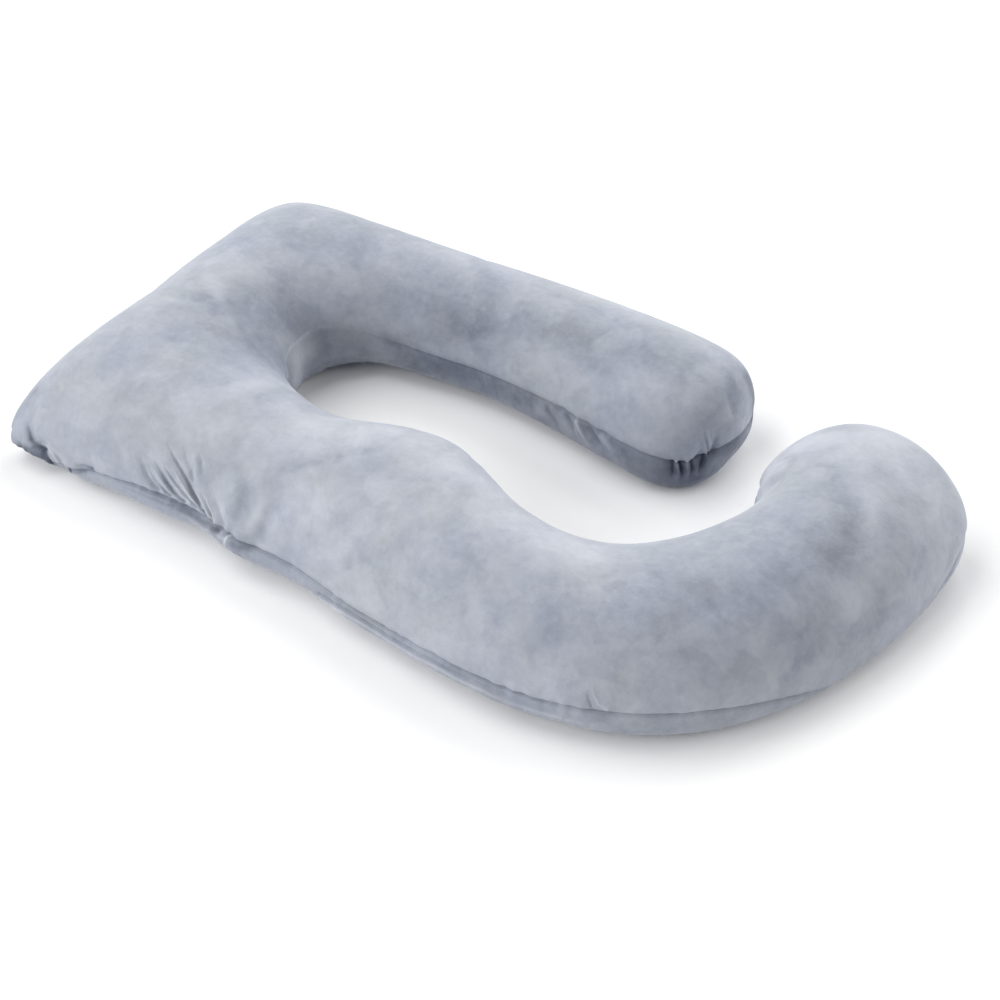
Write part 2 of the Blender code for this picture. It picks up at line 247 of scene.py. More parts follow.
# Where the seam runs, going round by the far side, the head and the near side to the curled
# end, and back by the inner side.
Stitch = namedtuple("Stitch", "place x y height")
SEAM = [
    Stitch("leg's end", 0.315, 0.263, 0.065),
    Stitch("leg's end", 0.307, 0.323, 0.065),
    Stitch("leg's end", 0.281, 0.366, 0.065),
    Stitch("straight leg, far side", 0.228, 0.394, 0.065),
    Stitch("straight leg, far side", 0.138, 0.408, 0.065),
    Stitch("straight leg, far side", 0.023, 0.412, 0.065),
    Stitch("straight leg, far side", -0.107, 0.412, 0.065),
    Stitch("straight leg, far side", -0.227, 0.410, 0.065),
    Stitch("head, far side", -0.597, 0.413, 0.060),
    Stitch("head, far side", -0.680, 0.390, 0.060),
    Stitch("head, end", -0.709, 0.313, 0.060),
    Stitch("head, end", -0.711, 0.208, 0.060),
    Stitch("head, end", -0.712, 0.088, 0.060),
    Stitch("head, end", -0.707, -0.032, 0.060),
    Stitch("head, end", -0.712, -0.152, 0.060),
    Stitch("head, end", -0.714, -0.252, 0.055),
    Stitch("near corner", -0.715, -0.316, 0.034),
    Stitch("near corner", -0.680, -0.342, 0.028),
    Stitch("near corner", -0.640, -0.343, 0.024),
    Stitch("near corner", -0.597, -0.343, 0.020),
    Stitch("near corner", -0.560, -0.343, 0.028),
    Stitch("head, near side", -0.517, -0.345, 0.043),
    Stitch("head, near side", -0.467, -0.345, 0.050),
    Stitch("waist", -0.397, -0.344, 0.055),
    Stitch("waist", -0.297, -0.342, 0.050),
    Stitch("waist", -0.217, -0.360, 0.050),
    Stitch("wavy leg, near side", -0.117, -0.361, 0.053),
    Stitch("wavy leg, near side", 0.003, -0.382, 0.047),
    Stitch("wavy leg, near side", 0.123, -0.399, 0.050),
    Stitch("wavy leg, near side", 0.243, -0.410, 0.054),
    Stitch("wavy leg, near side", 0.353, -0.403, 0.058),
    Stitch("bend", 0.457, -0.372, 0.064),
    Stitch("bend", 0.549, -0.308, 0.064),
    Stitch("bend", 0.619, -0.214, 0.046),
    Stitch("bend", 0.665, -0.105, 0.016),
    Stitch("curled end, outer side", 0.697, 0.010, 0.018),
    Stitch("curled end, outer side", 0.713, 0.110, 0.040),
    Stitch("curled end, outer side", 0.713, 0.202, 0.060),
    Stitch("curled end, outer side", 0.689, 0.257, 0.060),
    Stitch("curled end, outer side", 0.631, 0.283, 0.060),
    Stitch("curled end, outer side", 0.549, 0.298, 0.060),
    Stitch("curled end, inner side", 0.458, 0.285, 0.060),
    Stitch("curled end, inner side", 0.410, 0.250, 0.065),
    Stitch("curled end, inner side", 0.392, 0.197, 0.065),
    Stitch("curled end, inner side", 0.397, 0.142, 0.070),
    Stitch("curled end, inner side", 0.419, 0.083, 0.070),
    Stitch("wavy leg, inner side", 0.413, 0.026, 0.070),
    Stitch("wavy leg, inner side", 0.389, -0.020, 0.070),
    Stitch("wavy leg, inner side", 0.353, -0.071, 0.070),
    Stitch("wavy leg, inner side", 0.295, -0.119, 0.070),
    Stitch("wavy leg, inner side", 0.220, -0.136, 0.070),
    Stitch("wavy leg, inner side", 0.133, -0.114, 0.070),
    Stitch("wavy leg, inner side", 0.056, -0.072, 0.070),
    Stitch("wavy leg, inner side", -0.017, -0.042, 0.070),
    Stitch("wavy leg, inner side", -0.092, -0.050, 0.070),
    Stitch("wavy leg, inner side", -0.162, -0.072, 0.070),
    Stitch("wavy leg, inner side", -0.212, -0.079, 0.070),
    Stitch("gap's end", -0.299, -0.058, 0.070),
    Stitch("gap's end", -0.355, -0.034, 0.080),
    Stitch("gap's end", -0.383, -0.006, 0.080),
    Stitch("gap's end", -0.397, 0.014, 0.085),
    Stitch("gap's end", -0.407, 0.034, 0.085),
    Stitch("gap's end", -0.417, 0.074, 0.090),
    Stitch("gap's far corner", -0.399, 0.112, 0.090),
    Stitch("gap's far corner", -0.349, 0.146, 0.085),
    Stitch("gap's far corner", -0.302, 0.160, 0.078),
    Stitch("straight leg, inner side", -0.222, 0.169, 0.070),
    Stitch("straight leg, inner side", -0.112, 0.174, 0.070),
    Stitch("straight leg, inner side", 0.023, 0.155, 0.075),
    Stitch("straight leg, inner side", 0.138, 0.130, 0.075),
    Stitch("leg's end", 0.225, 0.125, 0.070),
    Stitch("leg's end, drawn in", 0.273, 0.153, 0.060),
    Stitch("leg's end", 0.302, 0.208, 0.065),
]

# How each stretch looks: how deep the stitches pull it in and how far its gathers stand out, in
# metres, then how much the lower panel is darkened, as darker nap and painted shade, and how dark
# the painted shade in the seam's groove is, in the shades of the brushed strokes below.
Stretch = namedtuple("Stretch", "groove gathers dark stitches")
STRETCHES = {
    "leg's end": Stretch(0.003, 0.0006, 0.20, 0.20),
    "leg's end, drawn in": Stretch(0.004, 0.0006, 0.36, 0.24),
    "straight leg, far side": Stretch(0.003, 0.0010, 0.10, 0.20),
    "head, far side": Stretch(0.003, 0.0008, 0.10, 0.20),
    "head, end": Stretch(0.003, 0.0010, 0.05, 0.20),
    "near corner": Stretch(0.004, 0.0008, 0.03, 0.12),
    "head, near side": Stretch(0.004, 0.0010, 0.03, 0.20),
    "waist": Stretch(0.006, 0.0016, 0.05, 0.24),
    "wavy leg, near side": Stretch(0.004, 0.0010, 0.07, 0.20),
    "bend": Stretch(0.004, 0.0008, 0.06, 0.20),
    "curled end, outer side": Stretch(0.003, 0.0006, 0.04, 0.18),
    "curled end, inner side": Stretch(0.003, 0.0014, 0.05, 0.20),
    "wavy leg, inner side": Stretch(0.003, 0.0010, 0.15, 0.20),
    "gap's end": Stretch(0.002, 0.0004, 0.02, 0.00),
    "gap's far corner": Stretch(0.001, 0.0006, 0.12, 0.04),
    "straight leg, inner side": Stretch(0.003, 0.0005, 0.20, 0.14),
}
SEAM_STEPS = 10             # points on the seam from one row to the next
SEAM_SEARCH = 0.03          # how far outside its row a point starts to look for the cover,
SEAM_LOOK = 3 * SEAM_SEARCH     # and how far in it looks


def smooth_loop(corners, steps):
    """Points on a smooth closed curve through the corners."""
    corners = np.array(corners)
    share = (np.arange(steps) / steps)[None, :, None]
    before, here, after, beyond = (np.roll(corners, -turn, axis=0)[:, None] for turn in (-1, 0, 1, 2))
    curve = 0.5 * (2 * here + (after - before) * share
                   + (2 * before - 5 * here + 4 * after - beyond) * share ** 2
                   + (3 * here - before - 3 * after + beyond) * share ** 3)
    return curve.reshape(-1, corners.shape[1])


def vertices(piece):
    """A piece's points and their normals, as arrays."""
    count = len(piece.data.vertices)
    places = np.empty(count * 3)
    normals = np.empty(count * 3)
    piece.data.vertices.foreach_get("co", places)
    piece.data.vertices.foreach_get("normal", normals)
    return places.reshape(-1, 3), normals.reshape(-1, 3)


def put(piece, places):
    """Moves a piece's points, none of them below the floor."""
    places[:, 2] = np.maximum(places[:, 2], 0)
    piece.data.vertices.foreach_set("co", places.ravel())
    piece.data.update()


def tree_of(piece, levels=0):
    """A piece's surface to measure from, subdivided so many times for it."""
    if levels:
        piece.modifiers.new("finer", "SUBSURF").levels = levels
    form = bmesh.new()
    form.from_mesh(piece.evaluated_get(bpy.context.evaluated_depsgraph_get()).data)
    found = BVHTree.FromBMesh(form)
    form.free()
    piece.modifiers.clear()
    return found


Reading = namedtuple("Reading", "off below foot look")


class Seam:
    """The seam's line on a piece, to measure any points from."""

    def __init__(self, piece):
        looks = [(row.x, row.y, row.height, *STRETCHES[row.place]) for row in SEAM]
        line = smooth_loop(looks, SEAM_STEPS)
        tree = tree_of(piece)
        ahead = np.roll(line, -1, axis=0) - np.roll(line, 1, axis=0)
        for row, run in zip(line, ahead):
            point = Vector(row[:3])
            inward = Vector((-run[1], run[0], 0)).normalized()
            hit = tree.ray_cast(point - inward * SEAM_SEARCH, inward, SEAM_LOOK)[0]
            row[:3] = hit or tree.find_nearest(point)[0]
        self.line = line
        self.tree = KDTree(len(line))
        for index, row in enumerate(line):
            self.tree.insert(row[:3], index)
        self.tree.balance()

    def measure(self, places):
        """How far off the seam places lie and how far below it, the nearest point on the seam
        and the seam's look there."""
        nearest = np.array([self.tree.find(place)[1] for place in places])
        off = np.full(len(places), np.inf)
        feet = np.zeros((len(places), self.line.shape[1]))
        for first in ((nearest - 1) % len(self.line), nearest):
            start = self.line[first]
            run = self.line[(first + 1) % len(self.line)] - start
            aside = places - start[:, :3]
            share = np.clip((aside * run[:, :3]).sum(1) / (run[:, :3] ** 2).sum(1), 0, 1)[:, None]
            length = np.linalg.norm(aside - run[:, :3] * share, axis=1)
            closer = length < off
            off[closer] = length[closer]
            feet[closer] = (start + run * share)[closer]
        return Reading(off, feet[:, 2] - places[:, 2], feet[:, :3], Stretch(*feet[:, 3:].T))


def closed_copy(name, node):
    """A new object with a node's mesh as one closed surface, most of its faces four-sided."""
    surface = bmesh.new()
    surface.from_mesh(node.data)
    bmesh.ops.remove_doubles(surface, verts=surface.verts[:], dist=MERGED)
    bmesh.ops.join_triangles(surface, faces=surface.faces[:], angle_face_threshold=QUAD_ANGLE,
                             angle_shape_threshold=QUAD_ANGLE)
    mesh = bpy.data.meshes.new(name)
    surface.to_mesh(mesh)
    surface.free()
    copy = bpy.data.objects.new(name, mesh)
    scene.collection.objects.link(copy)
    return copy


def modify(piece, kind, **settings):
    """Gives a piece the mesh that one modifier makes of it."""
    modifier = piece.modifiers.new(kind.lower(), kind)
    for name, setting in settings.items():
        setattr(modifier, name, setting)
    settle(piece)


def settle(piece):
    """Gives a piece the mesh that its modifiers make, and takes them off."""
    shown = piece.evaluated_get(bpy.context.evaluated_depsgraph_get())
    mesh = bpy.data.meshes.new_from_object(shown)
    piece.modifiers.clear()
    piece.data = mesh


def puff(piece, seam):
    """Fills the velvet: it swells between the seam and the floor, which hold it."""
    places = vertices(piece)[0]
    held = piece.vertex_groups.new(name="held")
    still = (seam.measure(places).off < HELD_BY_SEAM) | (places[:, 2] < HELD_BY_FLOOR)
    held.add(np.flatnonzero(still).tolist(), 1, "REPLACE")
    cloth = piece.modifiers.new("filling", "CLOTH")
    cloth.settings.quality = CLOTH_QUALITY
    cloth.settings.mass = CLOTH_MASS
    cloth.settings.vertex_group_mass = "held"
    cloth.settings.use_pressure = True
    cloth.settings.uniform_pressure_force = PRESSURE
    cloth.settings.shrink_min = -SLACK
    cloth.settings.effector_weights.gravity = 0
    cloth.collision_settings.use_collision = False
    for frame_number in range(1, PUFF_FRAMES + 1):
        scene.frame_set(frame_number)
    settle(piece)
    scene.frame_set(1)
    moves = vertices(piece)[0] - places
    far = np.linalg.norm(moves, axis=1)
    moves *= np.minimum(1, PUFF_LIMIT / np.maximum(far, PUFF_LEAST))[:, None]
    put(piece, places + moves)
    piece.vertex_groups.clear()


def refine(piece, grains):
    """Halves each edge that is longer than the grain wanted at both its ends."""
    surface = bmesh.new()
    surface.from_mesh(piece.data)
    coarse = [edge for edge in surface.edges
              if edge.calc_length() > max(grains[edge.verts[0].index], grains[edge.verts[1].index])]
    bmesh.ops.subdivide_edges(surface, edges=coarse, cuts=1, use_grid_fill=True)
    bmesh.ops.triangulate(surface, faces=[face for face in surface.faces if len(face.verts) > 4])
    surface.to_mesh(piece.data)
    surface.free()
    piece.data.update()


def distance_to(places, path):
    """How far places lie off a path's runs, and how far along it, from 0 at its start to 1."""
    best = np.full(len(places), np.inf)
    along = np.zeros(len(places))
    lengths = np.linalg.norm(np.diff(path, axis=0), axis=1)
    reached = np.concatenate(([0], np.cumsum(lengths)))
    for index, length in enumerate(lengths):
        run = path[index + 1] - path[index]
        share = np.clip((places - path[index]) @ run / length ** 2, 0, 1)
        off = np.linalg.norm(places - path[index] - share[:, None] * run, axis=1)
        closer = off < best
        best[closer] = off[closer]
        along[closer] = (reached[index] + share * length)[closer] / reached[-1]
    return best, along


cover = closed_copy("cover", packed)
modify(cover, "SUBSURF", levels=SMOOTHINGS, render_levels=SMOOTHINGS)
solid_form = tree_of(cover)
modify(cover, "REMESH", mode="VOXEL", voxel_size=VOXEL)
put(cover, np.array([solid_form.find_nearest(place)[0] for place in vertices(cover)[0]]))
seam = Seam(cover)
puff(cover, seam)
puffed_form = tree_of(cover, levels=SMOOTHINGS)

# The folds that the picture shows, along its pixels, with widths and depths in metres: each is
# deepest at its start and fades out at its end. A negative depth is a ridge.
Fold = namedtuple("Fold", "place width depth path")
FOLDS = [
    Fold("waist fan", 0.0028, 0.0056,
         ((206, 516), (200, 506), (193, 493), (187, 480), (178, 464), (166, 441))),
    Fold("waist fan", 0.0023, 0.0040, ((196, 507), (185, 495), (174, 481), (164, 465))),
    Fold("waist fan", 0.0026, 0.0048, ((184, 502), (176, 494), (167, 482), (155, 461))),
    Fold("waist fan", 0.0026, 0.0036, ((170, 496), (160, 486), (152, 474), (147, 465))),
    Fold("waist fan", 0.0050, 0.0034, ((158, 489), (149, 478), (143, 466), (137, 452))),
    Fold("waist fan", 0.0045, 0.0024, ((193, 480), (191, 470), (186, 458), (184, 443))),
    Fold("waist fan", 0.0040, 0.0018, ((202, 472), (201, 460), (198, 450))),
    Fold("waist fan", 0.0026, 0.0042, ((213, 519), (206, 504), (200, 492))),
    Fold("waist fan", 0.0045, 0.0030, ((224, 526), (220, 514), (214, 498))),
    Fold("waist fan", 0.0022, -0.0028, ((202, 509), (191, 497), (181, 482), (172, 466))),
    Fold("waist fan", 0.0022, -0.0026, ((190, 503), (179, 490), (169, 477), (161, 464))),
    Fold("waist fan", 0.0022, -0.0024, ((178, 499), (167, 488), (157, 474), (151, 465))),
    Fold("waist fan", 0.0022, -0.0020, ((164, 493), (154, 482), (148, 473))),
    Fold("waist fan", 0.0022, -0.0026, ((217, 523), (211, 509), (204, 494))),
    Fold("waist fan", 0.0022, -0.0022, ((209, 514), (202, 501), (194, 488))),
    Fold("waist fan", 0.0040, -0.0014, ((196, 476), (196, 464), (193, 450))),
    Fold("waist", 0.012, 0.0026, ((232, 530), (243, 506), (248, 485), (237, 466))),
    Fold("waist", 0.009, 0.0018, ((262, 540), (272, 515), (284, 498))),
    Fold("waist", 0.009, -0.0018, ((250, 530), (258, 512), (266, 496))),
    Fold("under the fan", 0.0060, 0.0046, ((220, 533), (205, 523), (190, 513), (165, 500))),
    Fold("under the fan", 0.0050, 0.0030, ((165, 500), (140, 489), (120, 481))),
    Fold("waist", 0.0034, -0.0030, ((231, 538), (230, 545), (233, 552))),
    Fold("waist, lower panel", 0.0032, 0.0036, ((243, 556), (262, 566), (290, 580), (325, 602))),
    Fold("waist, lower panel", 0.0030, -0.0018, ((250, 563), (275, 577), (305, 595))),
    Fold("wavy leg, lower panel", 0.0030, 0.0024,
         ((322, 595), (350, 612), (400, 643), (450, 670), (500, 691), (550, 708))),
    Fold("wavy leg, lower panel", 0.0026, -0.0018,
         ((322, 600), (350, 617), (400, 648), (450, 675), (500, 696), (550, 713))),
    Fold("under the fan", 0.0024, -0.0022, ((228, 541), (208, 529), (190, 518), (172, 508))),
    Fold("head, lower panel", 0.0026, 0.0026, ((170, 507), (150, 498), (130, 490), (108, 480))),
    Fold("near corner", 0.0040, 0.0056,
         ((54, 460), (50, 456), (45, 450), (40, 446), (35, 443), (32, 439), (30, 432), (29, 424))),
    Fold("near corner", 0.0030, 0.0034, ((48, 450), (36, 448), (22, 446))),
    Fold("near corner", 0.0030, -0.0022, ((60, 461), (54, 453), (48, 445), (38, 437), (34, 422))),
    Fold("near corner", 0.0034, 0.0060, ((86, 473), (76, 471), (68, 468))),
    Fold("near corner", 0.0030, 0.0040, ((92, 469), (84, 466), (76, 466))),
    Fold("leg's end", 0.0030, 0.0045, ((672, 462), (673, 472), (671, 480))),
    Fold("leg's end", 0.0030, 0.0050, ((681, 464), (682, 473), (681, 480))),
    Fold("leg's end", 0.0034, 0.0055, ((692, 461), (692, 470), (689, 477))),
    Fold("leg's end", 0.0040, 0.0060, ((703, 457), (701, 466), (696, 474))),
    Fold("leg's end", 0.0026, -0.0024, ((677, 462), (678, 472), (676, 480))),
    Fold("leg's end", 0.0026, -0.0024, ((687, 462), (688, 472), (685, 479))),
    Fold("leg's end", 0.0026, -0.0024, ((707, 454), (704, 440), (700, 430))),
    Fold("leg's end", 0.0026, -0.0024, ((711, 454), (709, 440), (706, 428))),
    Fold("leg's end", 0.0030, 0.0020, ((709, 455), (706, 442), (703, 430))),
    Fold("leg's end", 0.0070, 0.0045, ((712, 453), (716, 440), (716, 428))),
    Fold("leg's end", 0.0080, 0.0022, ((733, 412), (729, 400), (727, 390))),
    Fold("leg's side", 0.0045, 0.0035, ((590, 429), (598, 440), (606, 450))),
    Fold("leg's side", 0.0036, -0.0040, ((577, 422), (583, 434), (592, 447))),
    Fold("leg's side", 0.0045, 0.0040, ((566, 415), (572, 426), (578, 438))),
    Fold("leg's side", 0.0050, 0.0035, ((547, 410), (553, 418), (560, 428))),
    Fold("leg's side", 0.0050, 0.0025, ((612, 440), (622, 450), (632, 462))),
    Fold("leg's side", 0.0050, -0.0025, ((602, 436), (609, 446), (618, 458))),
    Fold("wavy leg", 0.0024, -0.0014, ((608, 709), (599, 704), (594, 694), (592, 681))),
    Fold("wavy leg", 0.0028, 0.0016, ((592, 708), (589, 698), (587, 688))),
    Fold("wavy leg", 0.014, 0.0016, ((287, 467), (310, 461), (335, 457), (365, 450), (400, 437))),
    Fold("head", 0.012, 0.0008, ((160, 336), (185, 341), (205, 346), (230, 350))),
    Fold("curl", 0.0090, 0.0024, ((766, 484), (779, 480), (786, 472))),
    Fold("curl", 0.0080, 0.0020, ((778, 462), (787, 458), (795, 456))),
    Fold("curl", 0.0080, 0.0008, ((820, 466), (832, 466), (840, 468))),
]

# Where the filling pushes the lower panel out past the solid and lifts its edge off the floor,
# along the picture's pixels, in metres: each is most at its start and fades out at its end.
Bulge = namedtuple("Bulge", "place width height lift path")
BULGES = [
    Bulge("near corner", 0.018, 0.011, 0.005, ((60, 465), (40, 456), (26, 449), (14, 438))),
    Bulge("near corner", 0.014, 0.009, 0, ((15, 444), (13, 437), (12, 430))),
    Bulge("head, near side", 0.018, 0.014, 0.008, ((76, 471), (100, 483), (125, 494), (160, 511))),
    Bulge("near side", 0.020, 0.008, 0.009,
          ((100, 484), (160, 511), (230, 547), (330, 607), (420, 661), (520, 705), (620, 731),
           (720, 735), (800, 710))),
    Bulge("leg's end", 0.016, 0.011, 0.005, ((680, 484), (660, 482), (640, 476), (615, 465))),
    Bulge("leg's end", 0.016, 0.011, 0.005, ((680, 484), (700, 482), (715, 474), (730, 463))),
    Bulge("gap's end", 0.024, 0.019, 0.021, ((345, 361), (330, 364), (312, 375), (300, 388))),
    Bulge("gap's far side", 0.024, 0.019, 0.021,
          ((345, 361), (370, 362), (400, 367), (450, 384), (560, 433), (640, 480))),
]
FOLD_REACH = 2.6            # nearer a fold than this many times its width,
FOLD_GRAIN = 0.55           # no edge is longer than this many times its width
SEAM_GRAIN = 0.0022         # at the seam no edge is longer than this,
SEAM_SPREAD = 0.25          # and away from it edges may be longer by this share of the distance
REFINEMENTS = 5
SEAM_WIDTH = 0.0026
GATHER_SPACING = 0.014
GATHER_REACH = 0.016        # how far from the seam gathers fade out,
GATHER_END = 3 * GATHER_REACH   # and where nothing is left of them
GATHER_SWING = 2            # brings the noise that shapes them to about 1 each way

paths = [np.array([seen(puffed_form, pixel) for pixel in fold.path]) for fold in FOLDS]


def fading(places, path, width):
    """1 at a path's start, less beside the path by its width, and none at its end."""
    aside, along = distance_to(places, path)
    return np.exp(-(aside / width) ** 2) * (1 - along ** 2)


def grains(places):
    """How long an edge may be at each place, in metres."""
    wanted = SEAM_GRAIN + SEAM_SPREAD * seam.measure(places).off
    for fold, path in zip(FOLDS, paths):
        reach = FOLD_REACH * fold.width
        boxed = ((places > path.min(0) - reach) & (places < path.max(0) + reach)).all(1)
        close = np.flatnonzero(boxed)
        close = close[distance_to(places[close], path)[0] < reach]
        wanted[close] = np.minimum(wanted[close], FOLD_GRAIN * fold.width)
    return wanted


# The cover gets finer faces where the seam and the folds need them. It then takes the solid's
# own form at the seam, and the puffed one elsewhere.
for turn in range(REFINEMENTS):
    refine(cover, grains(vertices(cover)[0]))

places = vertices(cover)[0]
share = np.exp(-(seam.measure(places).off / SEAM_BLEND) ** 2)[:, None]
solid = np.array([solid_form.find_nearest(place)[0] for place in places])
puffed = np.array([puffed_form.find_nearest(place)[0] for place in places])
put(cover, solid * share + puffed * (1 - share))

# The seam's groove and gathers and the folds are sunk into that form, and the bulges raised.
places, normals = vertices(cover)
off, below, foot, look = seam.measure(places)
side = np.where(below > 0, off, -off)
sunk = look.groove * np.exp(-((side - SEAM_WIDTH / 2) / SEAM_WIDTH) ** 2)
for index in np.flatnonzero(off < GATHER_END):
    wave = noise.noise(Vector(foot[index]) / GATHER_SPACING) * GATHER_SWING
    sunk[index] += look.gathers[index] * wave * math.exp(-(off[index] / GATHER_REACH) ** 2)
crease = np.zeros(len(places))
for fold, path in zip(FOLDS, paths):
    crease += fold.depth * fading(places, path, fold.width)
bulge = np.zeros(len(places))
lift = np.zeros(len(places))
for push in BULGES:
    path = np.array([seen(puffed_form, pixel) for pixel in push.path])
    share = fading(places, path, push.width)
    bulge = np.maximum(bulge, push.height * share)
    lift = np.maximum(lift, push.lift * share)
moved = places + normals * (bulge - sunk - crease)[:, None]
moved[:, 2] = np.maximum(moved[:, 2], 0) + lift
put(cover, moved)
cover.data.shade_smooth()
